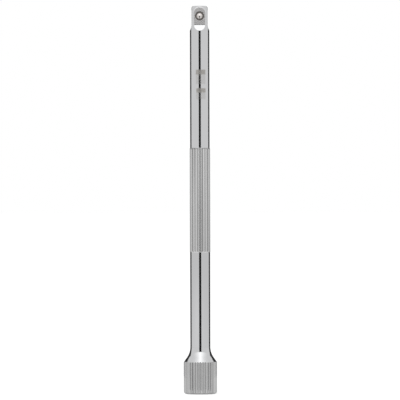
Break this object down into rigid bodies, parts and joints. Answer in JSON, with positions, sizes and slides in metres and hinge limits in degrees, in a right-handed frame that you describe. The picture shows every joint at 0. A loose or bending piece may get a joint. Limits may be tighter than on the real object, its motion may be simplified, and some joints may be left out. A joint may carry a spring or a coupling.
{
  "type": "socket extension bar",
  "caption": "Socket extension bar: fluted steel bar with a male square and sprung detent ball at one end and a flared female square socket end at the other.",
  "frame": {"origin": "middle of the socket end's flat base, on the bar's axis", "axes": "+Z along the bar from the female square to the male square; the detent ball faces -Y; the flats of both squares face +X, -X, +Y and -Y"},
  "size_m": [0.0132, 0.0132, 0.1524],
  "materials": {
    "bar_chrome": "bright chrome plate on the shanks, satin chrome plate on the fluted grip band, the fluted socket end and the male square",
    "ball_steel": "polished bearing steel",
    "spring_wire": "drawn spring wire, lightly oiled"
  },
  "bodies": {
    "bar": {"extension_bar": "bar_chrome", "detent_spring": "spring_wire"},
    "ball": {"detent_ball": "ball_steel"}
  },
  "joints": [
    {"name": "ball_slide", "type": "slide", "parent": "bar", "child": "ball", "axis": [0, 1, 0], "range_m": [0, 0.00065], "stiffness_N_per_m": 3756, "springref_m": -0.0012, "deforming": ["detent_spring"]}
  ]
}
